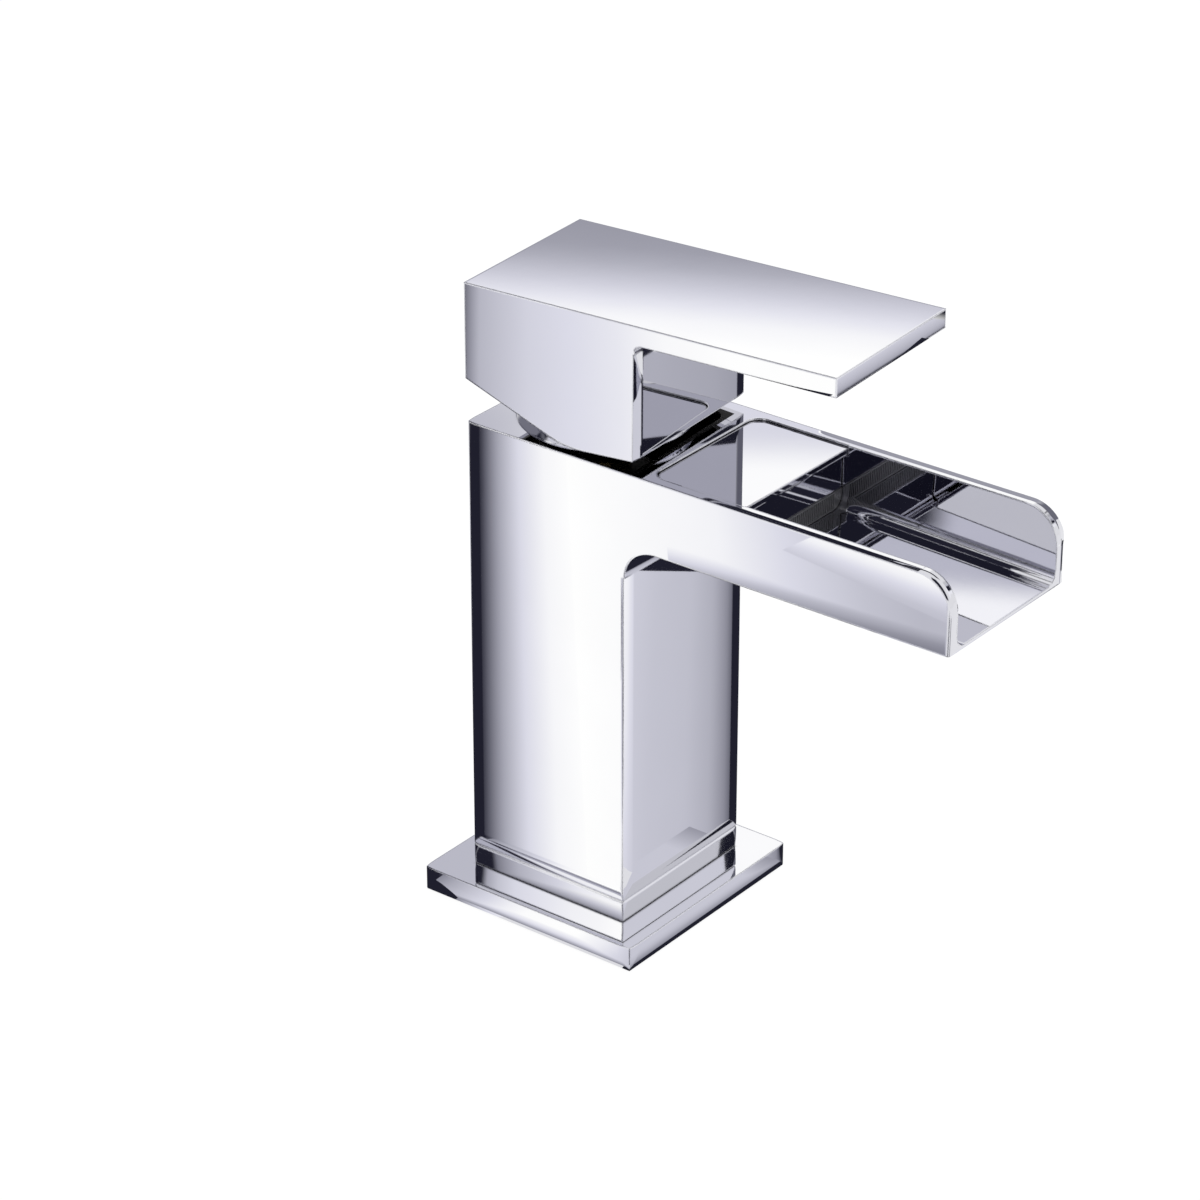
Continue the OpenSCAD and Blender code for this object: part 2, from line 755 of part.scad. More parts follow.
// Side view of block and lever, with the bent underside of the block
module handle_side_2d() {
    rear = [-block_half, body_top + block_rear_gap];
    front = [block_half, body_top + block_front_gap];
    knee = [block_low_y, body_top + block_gap];
    a_rear = atan2(knee[1] - rear[1], knee[0] - rear[0]);
    a_front = atan2(front[1] - knee[1], front[0] - knee[0]);
    reach = block_low_r * tan((a_front - a_rear) / 2);
    centre = knee + reach * [cos(a_front), sin(a_front)] + block_low_r * [-sin(a_front), cos(a_front)];
    bend = [for (i = [0 : 8]) let (a = a_rear + (a_front - a_rear) * i / 8)
        centre + block_low_r * [sin(a), -cos(a)]];
    under = function(y) top_z(-y) - lever_t;
    polygon(concat([rear], bend, [front], [[block_half, under(block_half) + fit],
        [block_half, top_z(-block_half)], [-block_half, top_z(block_half)]]));
    polygon([[0, under(0)], [lever_len, under(lever_len)], [lever_len, top_z(-lever_len)], [0, top_z(0)]]);
    difference() {
        translate([block_half - fit, under(block_half) - lever_fillet])
            square([lever_fillet + fit, lever_fillet + lever_t / 2]);
        translate([block_half + lever_fillet, under(block_half) - lever_fillet]) circle(lever_fillet);
    }
}

// Hollow of the block, round the boss for the stem and the boss for the set screw
module block_hollow() {
    inner_w = handle_w - 2 * block_wall;
    inner_d = block_d - 2 * block_wall;
    roof = body_top + handle_top - lever_t;
    difference() {
        translate([0, 0, body_top]) linear_extrude(height = roof - body_top)
            round_rect(inner_w, inner_d, block_wall);
        translate([0, 0, boss_z]) linear_extrude(height = handle_top) round_rect(boss_w, boss_w, block_wall);
        translate([-screw_boss / 2, 0, screw_z - screw_boss / 2]) cube([screw_boss, block_d, handle_top]);
    }
}

// What the soft shoulders take off the front of the block, under the lever
module block_relief() {
    top = body_top + handle_top - lever_t - lever_fillet;
    translate([0, 0, body_top]) linear_extrude(height = top - body_top) difference() {
        translate([-half_w, -block_half - over]) square([column_w, over + fit + column_edge_r]);
        rotate(90) soft_band(block_d, handle_w, true);
    }
}

// The lever and its block, one hollow casting
module handle() {
    w = stem_w + 2 * socket_gap;
    color("silver") turned() difference() {
        across(handle_w) handle_side_2d();
        block_relief();
        block_hollow();
        translate([-w / 2, -w / 2, body_top]) cube([w, w, stem_top + fit - body_top]);
        translate([0, 0, screw_z]) rotate([-90, 0, 0]) cylinder(r = screw_r, h = block_d);
        translate([0, block_half - plug_t, screw_z]) rotate([-90, 0, 0]) cylinder(r = plug_r, h = block_d);
    }
}

// Grub screw that clamps the handle to the stem
module set_screw() {
    socket_af = screw_r;
    color("dimgray") turned() translate([0, stem_w / 2 + run, screw_z]) rotate([-90, 0, 0]) difference() {
        cylinder(r = screw_r - fit, h = screw_l);
        translate([0, 0, screw_l - screw_r]) cylinder(r = socket_af / sqrt(3), h = screw_r + over, $fn = 6);
    }
}

// Plug that closes the screw's hole in the back of the handle
module index_plug() {
    color("silver") turned() translate([0, block_half - plug_t + fit, screw_z]) rotate([-90, 0, 0])
        cylinder(r = plug_r - fit / 2, h = plug_t - fit);
}

faucet_body();
base_plate();
base_gasket();
body_o_ring();
cover_plate();
cover_gasket();
flow_straightener();
dome_cover();
retaining_nut();
cartridge_housing();
cartridge_base();
port_seals();
disc_seals();
lower_disc();
limit_ring();
stem_carrier();
pivot_pin();
carrier_o_ring();
upper_disc();
disc_coupler();
stem();
handle();
set_screw();
index_plug();
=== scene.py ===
"""Looks, light and camera for the waterfall basin faucet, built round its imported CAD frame."""

import math

import bpy
from mathutils import Matrix, Vector

MM = 0.001

# camera, fitted to the photograph
CAM_AZ, CAM_EL = math.radians(-52.25), math.radians(27.28)
CAM_DIST = 1.01675
CAM_AIM = Vector((0.0227, 0.0193, 0.0575))
CAM_LENS, CAM_SENSOR = 130.16, 36.0
CAM_CLIP = (0.05, 50)
CAM_SIDE = math.degrees(CAM_AZ) - 90  # the azimuth from the faucet to the camera

# soft edges of the chrome, and the shade painted into its creases by darkening their colour
EDGE_R = 0.55 * MM
EDGE_SAMPLES, CREASE_SAMPLES = 6, 4
CREASE, CREASE_PAINTED_SHADE = 0.8 * MM, 0.12
CREASE_FROM, CREASE_TO = 0.45, 0.8

# the rolled outer rims of the open spout: where they start along Y and fade in, the width over which they
# tilt, how much, and which faces count as rims by their normal
SPOUT_START, SPOUT_FADE = -42 * MM, 8 * MM
ROLL_IN, ROLL_OUT, ROLL_TILT = 20.3 * MM, 22.0 * MM, 0.9
RIM_SIDE, RIM_UP = 0.5, -0.2

# what the chrome gives back, the lavender of its greys and the grey range over which that fades to white
CHROME = (0.71, 0.71, 0.75)
CHROME_ROUGH = (0.01, 0.022)
TINT, TINT_FADE = 0.05, 0.12
GAIN = 2.0

# the handle's hollow: rough, with its colour painted near-black as shade
HOLLOW_PAINTED_SHADE, CAST_ROUGH = (0.035, 0.033, 0.03), 0.55
HANDLE_TURN = math.radians(3)
HOLLOW_HALF, HOLLOW_TOP = 20.6 * MM, 149.5 * MM

# surface texture: scale and detail of each noise, the levels between which it tells, and the depth of bumps
CLOUD, BLOTCH, RIPPLE = (60.0, 4.0), (120.0, 5.0), (180.0, 2.0)
GRAIN_DETAIL = 3.0
CLOUD_FROM, CLOUD_TO = 0.3, 0.7
BLOTCH_FROM, BLOTCH_TO = 0.3, 0.65
RIPPLE_DEPTH, GRAIN_DEPTH = 0.02 * MM, 0.03 * MM

# how far the noise darkens a finish, the range over which it moves the roughness, and strengths of bumps
METAL_SHADE, CHROME_SHADE, PLASTIC_SHADE = 0.97, 0.985, 0.86
METAL_SPREAD, PLASTIC_SPREAD = (0.7, 1.4), (0.85, 1.15)
MARK_STRENGTH, CHROME_RIPPLE = 0.25, 0.02
MARK_WOBBLE = 0.4

# floor: half its width in metres, how far it lies below the deck face, its own light and that light's share
FLOOR_HALF, FLOOR_DROP = 6.0, 0.6 * MM
FLOOR_LIGHT, FLOOR_SHARE = 1.04, 0.9
FLOOR_COLOR = (0.86, 0.86, 0.87, 1)

WHITE = (1, 1, 1, 1)
SKY_FILL = 0.45  # strength of the sky that lights the object
DARK = 0.14  # the studio's black, as the chrome shows it, and the grey of the cards that stand in for shade

# the studio sky that reflections see: azimuth from and to, elevation from and to, soft edges, grey
SKY = [
    (70, 133, -10, 38, 8, 6, 0.45),
    (112, 132, 8, 34, 2, 3, DARK),
    (146, 170, -10, 60, 1.5, 6, 0.84),
    (-26, 19, -10, 34, 4, 4, 0.42),
    (-62, -35.5, 14, 34, 2, 2, 0.92),
    (-35.5, -26, 14, 32, 2, 2, 0.72),
    (-37, -32.3, 20, 26.9, 0.5, 0.6, DARK),
    (-33.2, -30.6, 26.4, 29, 0.4, 0.4, DARK),
    (126, 142, 38, 50, 1, 1, 0.8),
    (146, 151, 28.8, 29.6, 0.5, 0.2, 1.1),
    (142, 148.7, 20, 28.1, 0.3, 0.1, DARK),
    (142, 148.8, 29.8, 38.3, 0.3, 0.3, DARK),
    (148.6, 151, 20, 26.8, 0.3, 0.5, 0.3),
    (19, 62, 22, 60, 4, 1.5, 0.98),
    (38.2, 62, 24, 60, 1.5, 1, 0.74),
    (28, 38.2, 24.2, 25.3, 0.5, 0.3, 0.85),
    (29.2, 31.6, 28.8, 31, 0.4, 0.4, 0.74),
    (-20, 40, 43, 62, 3, 2, DARK),
    (36, 125, 35, 62, 3, 2, DARK),
    (-168, -104, 15, 75, 6, 3, 0.16),
]
# behind the lever's top the sky's grey changes fast: its stops by elevation, the slope of their lines over
# azimuth and where they cross it, the band's azimuth and elevation with soft edges, its scale in the ramp
RISE = [(20.9, 0.585), (21.5, 0.63), (21.7, 0.69), (22.0, 0.82), (22.2, 0.90), (22.4, 0.96), (22.8, 1.0)]
TILT, TILT_AZ = 0.1, 38.0
RISE_AZ = (19, 62, 4)
RISE_EL = (-10, 24, 3, 0.2)
RISE_GAIN = 1.41

# lamps: place, size and power, all aimed at one point
LAMPS = {
    "key": ((-0.9, -0.5, 1.3), 1.0, 14.0),
    "fill": ((0.8, -0.9, 0.9), 1.0, 7.0),
    "back": ((0.6, 1.0, 1.1), 1.0, 7.0),
}
LAMP_AIM = Vector((0, -0.02, 0.07))

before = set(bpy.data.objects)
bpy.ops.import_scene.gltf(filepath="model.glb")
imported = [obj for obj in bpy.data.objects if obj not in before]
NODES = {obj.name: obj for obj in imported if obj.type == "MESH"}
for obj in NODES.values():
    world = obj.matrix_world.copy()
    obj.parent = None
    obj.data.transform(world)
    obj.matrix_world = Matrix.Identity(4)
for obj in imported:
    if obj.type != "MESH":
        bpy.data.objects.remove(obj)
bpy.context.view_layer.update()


# Shader helpers
class Graph:
    """The node tree of a material or world, with short calls to add and link nodes."""

    def __init__(self, owner, output="OutputMaterial"):
        owner.use_nodes = True
        self.owner, self.tree = owner, owner.node_tree
        self.tree.nodes.clear()
        self.out = self.tree.nodes.new("ShaderNode" + output)

    def add(self, kind, **values):
        node = self.tree.nodes.new("ShaderNode" + kind)
        for key, value in values.items():
            if hasattr(node, key):
                setattr(node, key, value)
            else:
                self.put(node.inputs[key.replace("_", " ")], value)
        return node

    def put(self, socket, value):
        if isinstance(value, bpy.types.NodeSocket):
            self.tree.links.new(value, socket)
        else:
            socket.default_value = value

    def point(self):
        return self.add("TexCoord").outputs["Object"]

    def parts(self, vector):
        node = self.add("SeparateXYZ")
        self.put(node.inputs["Vector"], vector)
        return node.outputs

    def math(self, operation, *values):
        node = self.add("Math", operation=operation)
        for socket, value in zip(node.inputs, values):
            self.put(socket, value)
        return node.outputs[0]

    def times(self, first, *others):
        for other in others:
            first = self.math("MULTIPLY", first, other)
        return first

    def mixed(self, share, first, second, blend="MIX"):
        node = self.add("MixRGB", blend_type=blend)
        for name, value in (("Fac", share), ("Color1", first), ("Color2", second)):
            self.put(node.inputs[name], value)
        return node.outputs["Color"]

    def shaders(self, share, first, second):
        node = self.add("MixShader")
        for socket, value in zip(node.inputs, (share, first, second)):
            self.put(socket, value)
        return node.outputs["Shader"]

    def rise(self, value, start, end):
        """0 before start, 1 after end and a smooth step between them."""
        node = self.add("MapRange", interpolation_type="SMOOTHSTEP")
        for name, v in (("Value", value), ("From Min", start), ("From Max", end)):
            self.put(node.inputs[name], v)
        return node.outputs["Result"]

    def window(self, value, low, high, soft):
        """Two factors whose product is 1 between low and high, with a smooth step of `soft` around each."""
        return self.rise(value, low - soft, low + soft), self.rise(value, high + soft, high - soft)

    def inside(self, half, top, turn):
        """1 inside a square block about the Z axis, turned by `turn`, and below `top`."""
        place = self.add("Mapping", vector_type="TEXTURE", Rotation=(0, 0, turn))
        self.put(place.inputs["Vector"], self.point())
        axes = self.parts(place.outputs["Vector"])
        width = self.math("MAXIMUM", self.math("ABSOLUTE", axes["X"]), self.math("ABSOLUTE", axes["Y"]))
        return self.times(self.math("LESS_THAN", width, half), self.math("LESS_THAN", axes["Z"], top))

    def rolled(self, normal):
        """The normal, but tilted outwards over the outer half of the spout's rims."""
        flat = self.add("NewGeometry").outputs["Normal"]
        place, face = self.parts(self.point()), self.parts(flat)
        width = self.math("ABSOLUTE", place["X"])
        rim = self.times(self.math("LESS_THAN", self.math("ABSOLUTE", face["X"]), RIM_SIDE),
                         self.math("GREATER_THAN", face["Z"], RIM_UP),
                         self.rise(place["Y"], SPOUT_START, SPOUT_START - SPOUT_FADE),
                         self.math("GREATER_THAN", width, ROLL_IN))
        tilt = self.add("CombineXYZ")
        out = self.span(width, 0.0, ROLL_TILT, ROLL_IN, ROLL_OUT)
        self.put(tilt.inputs["X"], self.times(out, self.math("SIGN", place["X"])))
        total = self.add("VectorMath", operation="ADD")
        self.put(total.inputs[0], flat)
        self.put(total.inputs[1], tilt.outputs["Vector"])
        mix = self.add("Mix", data_type="VECTOR")
        vector_a, vector_b, vector_out = mix.inputs[4], mix.inputs[5], mix.outputs[1]
        self.put(mix.inputs["Factor"], rim)
        self.put(vector_a, normal)
        self.put(vector_b, total.outputs["Vector"])
        unit = self.add("VectorMath", operation="NORMALIZE")
        self.put(unit.inputs[0], vector_out)
        return unit.outputs["Vector"]

    def seen(self):
        """1 for rays of the camera, reflections and glass, 0 for those that light the object."""
        path = self.add("LightPath").outputs
        both = self.math("MAXIMUM", path["Is Camera Ray"], path["Is Glossy Ray"])
        return self.math("MAXIMUM", both, path["Is Transmission Ray"])

    def noise(self, scale, detail):
        node = self.add("TexNoise", Scale=scale, Detail=detail)
        self.put(node.inputs["Vector"], self.point())
        return node.outputs["Fac"]

    def span(self, value, low, high, start=0.0, end=1.0):
        """Straight from low at start to high at end."""
        node = self.add("MapRange")
        for name, v in (("Value", value), ("From Min", start), ("From Max", end), ("To Min", low),
                        ("To Max", high)):
            self.put(node.inputs[name], v)
        return node.outputs["Result"]

    def ramp(self, value, stops):
        """stops: (position, grey level or colour) pairs."""
        node = self.add("ValToRGB")
        bar = node.color_ramp.elements
        while len(bar) < len(stops):
            bar.new(0.5)
        for element, (pos, tone) in zip(bar, stops):
            element.position = pos
            element.color = (*tone, 1) if hasattr(tone, "__len__") else (tone, tone, tone, 1)
        self.put(node.inputs["Fac"], value)
        return node.outputs["Color"]

    def bump(self, height, strength, depth):
        node = self.add("Bump", Strength=strength, Distance=depth)
        self.put(node.inputs["Height"], height)
        return node

    def finish(self, shader):
        self.put(self.out.inputs["Surface"], shader)
        return self.owner


def scaled(values, factor):
    return tuple(v * factor for v in values)


def metal(name, color, rough, wave=0.0, peel=0.0):
    """Machined metal: roughness that varies a little, and turning marks or else a faint ripple."""
    g = Graph(bpy.data.materials.new(name))
    bsdf = g.add("BsdfPrincipled", Metallic=1.0)
    cloud = g.noise(*CLOUD)
    g.put(bsdf.inputs["Roughness"], g.span(cloud, *scaled(METAL_SPREAD, rough), CLOUD_FROM, CLOUD_TO))
    g.put(bsdf.inputs["Base Color"],
          g.ramp(cloud, [(CLOUD_FROM, scaled(color, METAL_SHADE)), (CLOUD_TO, color)]))
    if wave:
        lines = g.add("TexWave", wave_type="RINGS", rings_direction="Z", Scale=wave, Distortion=MARK_WOBBLE)
        g.put(lines.inputs["Vector"], g.point())
        marks = g.bump(lines.outputs["Fac"], MARK_STRENGTH, RIPPLE_DEPTH)
    else:
        marks = g.bump(g.noise(*RIPPLE), peel, RIPPLE_DEPTH)
    g.put(bsdf.inputs["Normal"], marks.outputs["Normal"])
    return g.finish(bsdf.outputs["BSDF"])


def polished(name, rims=False, hollow=False):
    """Polished chrome plate with soft edges and with shade painted into its creases. `rims` rounds the open
    spout's rims more, and `hollow` makes the inside of the handle rough and paints it near-black as shade."""
    g = Graph(bpy.data.materials.new(name))
    bsdf = g.add("BsdfPrincipled", Metallic=1.0)
    cloud = g.noise(*CLOUD)
    rough = g.span(cloud, *CHROME_ROUGH, CLOUD_FROM, CLOUD_TO)
    color = g.ramp(cloud, [(CLOUD_FROM, scaled(CHROME, CHROME_SHADE)), (CLOUD_TO, CHROME)])
    normal = g.add("Bevel", samples=EDGE_SAMPLES, Radius=EDGE_R).outputs["Normal"]
    if rims:
        normal = g.rolled(normal)
    # painted shade: inside the handle the chrome turns rough and near-black
    if hollow:
        inside = g.inside(HOLLOW_HALF, HOLLOW_TOP, HANDLE_TURN)
        rough = g.span(inside, rough, CAST_ROUGH)
        color = g.mixed(inside, color, (*HOLLOW_PAINTED_SHADE, 1))
    ripple = g.bump(g.noise(*RIPPLE), CHROME_RIPPLE, RIPPLE_DEPTH)
    g.put(ripple.inputs["Normal"], normal)
    # painted shade: the colour is darkened where the occlusion test finds surfaces close by, in creases and
    # seams
    crease = g.add("AmbientOcclusion", samples=CREASE_SAMPLES, Distance=CREASE)
    depth = g.ramp(crease.outputs["AO"], [(CREASE_FROM, CREASE_PAINTED_SHADE), (CREASE_TO, 1.0)])
    g.put(bsdf.inputs["Base Color"], g.mixed(1.0, color, depth, "MULTIPLY"))
    g.put(bsdf.inputs["Roughness"], rough)
    g.put(bsdf.inputs["Normal"], ripple.outputs["Normal"])
    return g.finish(bsdf.outputs["BSDF"])


def plastic(name, color, rough, grain=900.0, spec=0.5, subsurface=0.0):
    """Moulded plastic, rubber or ceramic, with a fine grain and slight shifts of colour."""
    g = Graph(bpy.data.materials.new(name))
    bsdf = g.add("BsdfPrincipled", Metallic=0.0)
    bsdf.inputs["Specular IOR Level"].default_value = spec
    bsdf.inputs["Subsurface Weight"].default_value = subsurface
    blotch = g.noise(*BLOTCH)
    g.put(bsdf.inputs["Base Color"],
          g.ramp(blotch, [(BLOTCH_FROM, scaled(color, PLASTIC_SHADE)), (BLOTCH_TO, color)]))
    g.put(bsdf.inputs["Roughness"], g.span(blotch, *scaled(PLASTIC_SPREAD, rough), CLOUD_FROM, CLOUD_TO))
    fine = g.bump(g.noise(grain, GRAIN_DETAIL), MARK_STRENGTH, GRAIN_DEPTH)
    g.put(bsdf.inputs["Normal"], fine.outputs["Normal"])
    return g.finish(bsdf.outputs["BSDF"])


def dress(material, *names):
    for name in names:
        data = NODES[name].data
        data.materials.clear()
        data.materials.append(material)


# Studio
def linear(v):
    """A screen level from 0 to 1 as linear light."""
    return v / 12.92 if v <= 0.04045 else ((v + 0.055) / 1.055) ** 2.4


def glow(grey, bounces=1):
    """The light that looks like this grey in the chrome after so many bounces, with a trace of lavender."""
    tint = TINT * max(0.0, min(1.0, (1.0 - grey) / TINT_FADE))
    look = (grey - tint / 3, grey - tint / 3, grey + tint * 2 / 3)
    return tuple(linear(v) / c ** bounces for v, c in zip(look, CHROME))


def emitter(name, tones, lengths, bounces, skew):
    """Emission whose grey is the darker of two ramps: along the card's x, and along its y less `skew` x."""
    g = Graph(bpy.data.materials.new(name))
    axes = g.parts(g.point())
    slanted = g.math("SUBTRACT", axes["Y"], g.times(axes["X"], skew))
    lean = -skew * lengths[0]
    spans = ((axes["X"], 0.0, lengths[0]), (slanted, min(0.0, lean), lengths[1] + max(0.0, lean)))
    colors = []
    for (place, first, last), stops in zip(spans, tones):
        if stops is not None:
            lights = [((mm * MM - first) / (last - first), scaled(glow(grey, bounces), 1 / GAIN))
                      for mm, grey in stops]
            colors.append(g.ramp(g.span(place, 0.0, 1.0, first, last), lights))
    color = g.mixed(1.0, *colors, "DARKEN") if len(colors) == 2 else colors[0]
    g.owner.cycles.emission_sampling = "NONE"
    return g.finish(g.add("Emission", Strength=GAIN, Color=color).outputs["Emission"])


def sheet(name, width, length, centred=False):
    """A flat rectangle in the scene, with its corner or else its centre at the object's origin."""
    mesh = bpy.data.meshes.new(name)
    x0, y0 = (-width, -length) if centred else (0, 0)
    mesh.from_pydata([(x0, y0, 0), (width, y0, 0), (width, length, 0), (x0, length, 0)], [], [(0, 1, 2, 3)])
    obj = bpy.data.objects.new(name, mesh)
    bpy.context.scene.collection.objects.link(obj)
    return obj


def card(name, corner, along, across, width, length, tone_x=None, tone_y=None, bounces=1, skew=0.0):
    """A flat card that only reflections see. It runs `width` mm along `along` and `length` mm along
    `across`. tone_x and tone_y are (mm from the corner, grey) pairs."""
    x, y = Vector(along).normalized(), Vector(across)
    y = (y - x * y.dot(x)).normalized()
    size = width * MM, length * MM
    obj = sheet(name, *size)
    basis = Matrix((x, y, x.cross(y))).transposed().to_4x4()
    obj.matrix_world = Matrix.Translation(Vector(corner) * MM) @ basis
    obj.data.materials.append(emitter(name, (tone_x, tone_y), size, bounces, skew))
    for rays in ("camera", "diffuse", "shadow", "transmission", "volume_scatter"):
        setattr(obj, "visible_" + rays, False)


def flat(azimuth):
    a = math.radians(azimuth)
    return Vector((math.cos(a), math.sin(a), 0))


def floor_card(name, apex, azimuth, before, after, tones, length, start=0.0, z=-0.2, ends=None, skew=0.0):
    """A card on the floor beside a line that leaves `apex` at `azimuth`, from `before` mm behind it to
    `after` mm on the camera's side. `tones` are (mm from the line, grey) pairs, and `ends` are (mm along
    it, grey) pairs."""
    out = flat(azimuth)
    side = Vector((-out.y, out.x, 0))
    if side.dot(flat(CAM_SIDE)) < 0:
        side = -side
    corner = Vector((*apex, z)) - side * before + out * start
    card(name, corner, side, out, before + after, length, [(before + mm, tone) for mm, tone in tones], ends,
         skew=skew)


def build_floor():
    obj = sheet("studio_floor", FLOOR_HALF, FLOOR_HALF, centred=True)
    obj.location.z = -FLOOR_DROP
    g = Graph(bpy.data.materials.new("studio_floor"))
    lit = g.add("BsdfDiffuse", Color=FLOOR_COLOR).outputs["BSDF"]
    light = g.add("Emission", Color=WHITE, Strength=FLOOR_LIGHT).outputs["Emission"]
    g.owner.cycles.emission_sampling = "NONE"
    obj.data.materials.append(g.finish(g.shaders(g.span(g.seen(), 0.0, FLOOR_SHARE), lit, light)))


def lever_sky(g, azimuth, height):
    """The band of sky behind the lever's top, as its share and its colour."""
    low, high = RISE[0][0], RISE[-1][0]
    tilted = g.math("ADD", height, g.times(g.math("SUBTRACT", azimuth, TILT_AZ), TILT))
    stops = [((e - low) / (high - low), tuple(min(1.0, v / RISE_GAIN) for v in glow(t))) for e, t in RISE]
    bright = g.add("VectorMath", operation="SCALE", Scale=RISE_GAIN)
    g.put(bright.inputs["Vector"], g.ramp(g.span(tilted, 0.0, 1.0, low, high), stops))
    bottom, top, soft_bottom, soft_top = RISE_EL
    band = g.times(*g.window(azimuth, *RISE_AZ),
                   g.rise(height, bottom - soft_bottom, bottom + soft_bottom),
                   g.rise(height, top + soft_top, top - soft_top))
    return band, bright.outputs["Vector"]


def build_world():
    """White to the camera, soft grey light on the object, and for reflections a sky with its dark sides."""
    world = bpy.data.worlds.new("studio")
    bpy.context.scene.world = world
    world.cycles.sampling_method = "NONE"
    g = Graph(world, "OutputWorld")
    axes = g.parts(g.add("TexCoord").outputs["Generated"])
    azimuth = g.math("DEGREES", g.math("ARCTAN2", axes["Y"], axes["X"]))
    height = g.math("DEGREES", g.math("ARCSINE", axes["Z"]))
    sky = WHITE
    for az_from, az_to, el_from, el_to, soft_az, soft_el, grey in SKY:
        inside = g.times(*g.window(azimuth, az_from, az_to, soft_az),
                         *g.window(height, el_from, el_to, soft_el))
        sky = g.mixed(inside, sky, (*glow(grey), 1))
    band, bright = lever_sky(g, azimuth, height)
    sky = g.mixed(band, sky, bright)
    glossy = g.add("LightPath").outputs["Is Glossy Ray"]
    shown = g.add("Background", Strength=1.0, Color=g.mixed(glossy, WHITE, sky))
    fill = g.add("Background", Strength=SKY_FILL, Color=WHITE)
    g.finish(g.shaders(g.seen(), fill.outputs[0], shown.outputs[0]))


def build_lamps():
    for name, (place, size, power) in LAMPS.items():
        data = bpy.data.lights.new(name, "AREA")
        data.shape = "DISK"
        data.size = size
        data.energy = power
        obj = bpy.data.objects.new(name, data)
        bpy.context.scene.collection.objects.link(obj)
        obj.location = place
        obj.rotation_euler = (LAMP_AIM - Vector(place)).to_track_quat("-Z", "Y").to_euler()
        obj.visible_glossy = False
        obj.visible_camera = False


def build_camera():
    back = Vector((math.sin(CAM_AZ) * math.cos(CAM_EL), -math.cos(CAM_AZ) * math.cos(CAM_EL),
                   math.sin(CAM_EL)))
    right = Vector((math.cos(CAM_AZ), math.sin(CAM_AZ), 0))
    data = bpy.data.cameras.new("camera")
    data.lens, data.sensor_width = CAM_LENS, CAM_SENSOR
    data.clip_start, data.clip_end = CAM_CLIP
    data.dof.use_dof = False
    obj = bpy.data.objects.new("camera", data)
    bpy.context.scene.collection.objects.link(obj)
    turn = Matrix((right, back.cross(right), back)).transposed().to_4x4()
    obj.matrix_world = Matrix.Translation(CAM_AIM + back * CAM_DIST) @ turn
    bpy.context.scene.camera = obj


# Reflection cards
# Their tones are greys as the chrome shows them, and lengths are in mm. The floor cards lie in layers
# between the floor and the deck face, the ones that cover others higher.
ALL_DARK = [(0, DARK), (600, DARK)]
LEFT_LINE, RIGHT_LINE = ((-22, 18.6), 140.6), ((18.6, -22), -35.8)
X_AXIS, Y_AXIS, Z_AXIS = (1, 0, 0), (0, 1, 0), (0, 0, 1)


def build_left_cards():
    """Dark behind the column's left face, pale beside it, grey under the spout's left side."""
    floor_card("rear_left", (-22, 17.9), 140.6, 170, 120,
               [(-170, 0.84), (-70, DARK), (-1.0, DARK), (0.5, 0.36), (4.3, 0.66), (10, 0.87), (17, 0.97),
                (25, 1.0)], length=262)
    floor_card("side_left", *LEFT_LINE, -24, 190,
               [(24, 1.0), (45, 0.98), (64, 0.96), (82, 0.87), (101, 0.78), (115, 0.74), (190, 0.77)],
               length=262, z=-0.1)
    floor_card("spout_low", *LEFT_LINE, -50, 190,
               [(50, 0.975), (64, 0.96), (82, 0.87), (101, 0.78), (115, 0.74), (190, 0.77)], start=100,
               length=80, z=-0.05, skew=-0.6,
               ends=[(55.5, 0.54), (59.5, 0.60), (62.5, 0.67), (65.5, 0.725), (67.5, 0.77), (70.5, 0.86),
                     (74.5, 0.93), (80, 1.0)])
    card("spout_high", (-208.3, 66.8, -0.03), (0.1448, -0.9893, 0), (-0.9893, -0.1448, 0), 74, 20,
         tone_y=[(-5.3, 0.765), (-1.9, 0.785), (0.8, 0.825), (3.4, 0.86), (5, 0.885), (7, 0.92), (9, 0.955),
                 (12, 0.98), (15, 1.0)], skew=0.093)
    card("far_left", (-350, 250, -0.05), X_AXIS, (0, -1, 0), 124, 180, skew=0.65,
         tone_y=[(-80, DARK), (9, DARK), (14, 0.6), (17, 0.73), (34, 0.84), (50, 0.88), (66, 0.92),
                 (83, 0.98), (110, 1.0)])


def build_right_cards():
    """Dark behind the column's front face, grey beside it, and the dark under the lever's end."""
    floor_card("front_right", *RIGHT_LINE, 150, 110,
               [(-150, 0.84), (-70, DARK), (-0.6, DARK), (0.3, 0.45), (1.5, 0.57), (5, 0.70), (11, 0.76),
                (20, 0.78), (28, 0.82), (40, 0.87), (60, 0.93), (90, 0.97)], length=182)
    floor_card("far_right", (22, -24), -30.5, 200, 40,
               [(-200, 0.84), (-110, DARK), (-26, DARK), (-15, 0.4), (-6, 0.62), (2, 0.66), (20, 0.69)],
               start=222, length=74)
    floor_card("root_dark", *RIGHT_LINE, 20, 30, ALL_DARK, start=156.5, length=60, z=-0.1)
    card("lever_floor", (250, -192.6, -0.1), (1, 0.06, 0), (0, -1, 0), 110, 80,
         tone_y=[(0, DARK), (39.5, DARK), (40.3, 0.66), (42, 0.73), (45, 0.80), (48, 0.86), (52, 0.92),
                 (80, 1.0)],
         tone_x=[(0, 1.0), (82, 1.0), (90, DARK), (110, DARK)])


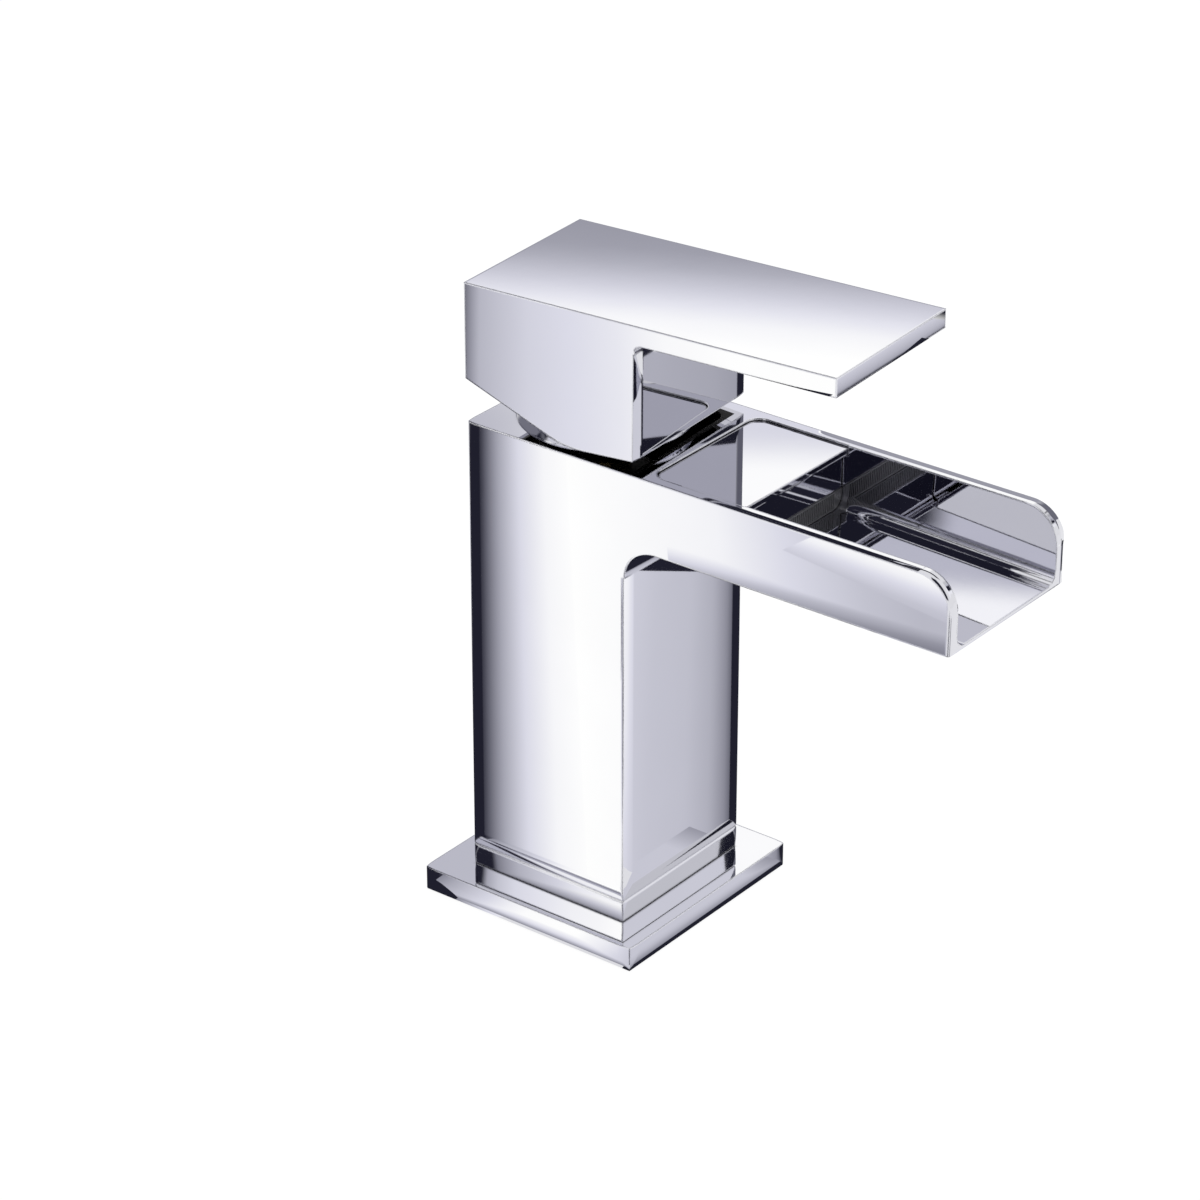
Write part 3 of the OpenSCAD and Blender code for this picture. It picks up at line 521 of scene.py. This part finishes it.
def build_front_cards():
    """Dark before the column's near edge, and two dark flags: one beside the lever's end, and one under the
    lever that stands in for the shade beneath it.
    """
    card("near_dark", (-70, -50, -0.2), (1, -1, 0), (-1, -1, 0), 110, 220,
         tone_x=[(0, 0.84), (25, DARK), (85, DARK), (110, 0.84)],
         tone_y=[(0, DARK), (150, DARK), (220, 0.84)])
    card("near_line", (-37, -26, -0.1), (1, -1, 0), (-1, -1, 0), 15.6, 60, tone_x=ALL_DARK)
    card("flag_front", (148, -55, 178), (-0.357, -0.934, 0.21), Z_AXIS, 84, 4.2, tone_x=ALL_DARK)
    # painted shade: a dark card just under the lever stands in for the shade beneath it in reflections
    card("lever_shade", (-18, -26, 149.1), (1, -0.052, 0), (0, -1, 0.0175), 40, 46, tone_x=ALL_DARK)


def build_foot_cards():
    """Upright cards to the left and in front, which the foot's coves show."""
    card("foot_high", (-176, 105, 140), Y_AXIS, Z_AXIS, 60, 30, bounces=2,
         tone_x=[(0, 0.98), (12, 0.96), (20, 0.92), (28, 0.84), (36, 0.77), (42, 0.71), (47, 0.6), (50, 0.5),
                 (52, DARK)],
         tone_y=[(12, 1.0), (15, 0.8), (18, 0.5)])
    card("foot_low", (-176, 85, 92), Y_AXIS, Z_AXIS, 60, 26, bounces=2,
         tone_x=[(0, 1.0), (10, 0.97), (20, 0.95), (32, 0.9), (40, 0.86), (46, 0.78), (50, 0.66),
                 (52, DARK)])
    card("foot_cove", (-176, 130, 190), Y_AXIS, Z_AXIS, 55, 60, bounces=2,
         tone_x=[(0, 0.96), (30, 0.94), (40, 0.84), (44, 0.4), (47, DARK)])
    card("foot_dark", (-177, 130, 92), Y_AXIS, Z_AXIS, 60, 48, tone_x=ALL_DARK)
    card("front_low", (209, -176, 105), X_AXIS, Z_AXIS, 46, 45, tone_x=ALL_DARK)
    card("front_high", (259, -176, 180), X_AXIS, Z_AXIS, 46, 55, tone_x=ALL_DARK)


def build_plate_cards():
    """The table close to the base plate, which the plate's edge faces show, with the shadow at the plate's
    foot painted into it.
    """
    # painted shadow: the greys darken towards the plate's foot and the wedges are dark, standing in for the
    # shadow where the plate meets the table
    card("plate_left", (-30.4, -30.4, -0.06), (-1, 0, 0), Y_AXIS, 11, 61,
         tone_x=[(0, 0.55), (0.6, 0.72), (1.2, 0.84), (2, 0.91), (3, 0.95), (4.5, 1.0)],
         tone_y=[(0, 0.78), (7, 0.86), (13, 0.94), (20, 1.0), (35, 0.99), (40, 0.95), (46, 0.86), (57, 0.68),
                 (61, 0.55)])
    card("plate_wedge", (-30.4, 21, -0.02), (-5.6, 14, 0), X_AXIS, 18, 10, tone_x=ALL_DARK)
    card("plate_front", (-30.4, -30.4, -0.06), X_AXIS, (0, -1, 0), 61, 12,
         tone_x=[(0, 0.85), (7, 0.9), (22, 1.0), (30, 1.0), (37, 0.95), (44, 0.87), (52, 0.77), (61, 0.6)],
         tone_y=[(0, 0.5), (0.6, 0.61), (1.2, 0.66), (2, 0.73), (4, 0.79)])
    card("front_wedge", (-30.4, -30.5, -0.02), (61, -0.4, 0), Y_AXIS, 61, 3, tone_x=ALL_DARK)


# The faucet's materials
dress(polished("chrome"), "base_plate", "cover_plate", "dome_cover", "index_plug")
dress(polished("chrome_body", rims=True), "faucet_body")
dress(polished("chrome_handle", hollow=True), "handle")
dress(metal("turned_brass", (0.78, 0.60, 0.30), 0.22, wave=900.0), "retaining_nut", "stem")
dress(metal("turned_steel", (0.62, 0.62, 0.64), 0.24, wave=1200.0), "pivot_pin")
dress(metal("blackened_steel", (0.09, 0.09, 0.10), 0.42, peel=0.2), "set_screw")
dress(plastic("black_rubber", (0.035, 0.035, 0.04), 0.62, grain=1500.0, spec=0.35),
      "base_gasket", "body_o_ring", "cover_gasket", "port_seals", "disc_seals", "carrier_o_ring")
dress(plastic("lapped_ceramic", (0.90, 0.89, 0.85), 0.12, grain=2500.0), "lower_disc", "upper_disc")
dress(plastic("white_acetal", (0.84, 0.83, 0.78), 0.38, subsurface=0.05),
      "cartridge_housing", "cartridge_base", "stem_carrier", "disc_coupler")
dress(plastic("red_nylon", (0.60, 0.07, 0.05), 0.4), "limit_ring")
dress(plastic("comb_acetal", (0.12, 0.12, 0.13), 0.3, grain=1600.0), "flow_straightener")

build_floor()
build_world()
build_lamps()
build_camera()
build_left_cards()
build_right_cards()
build_front_cards()
build_foot_cards()
build_plate_cards()

bpy.context.scene.view_settings.view_transform = "Standard"
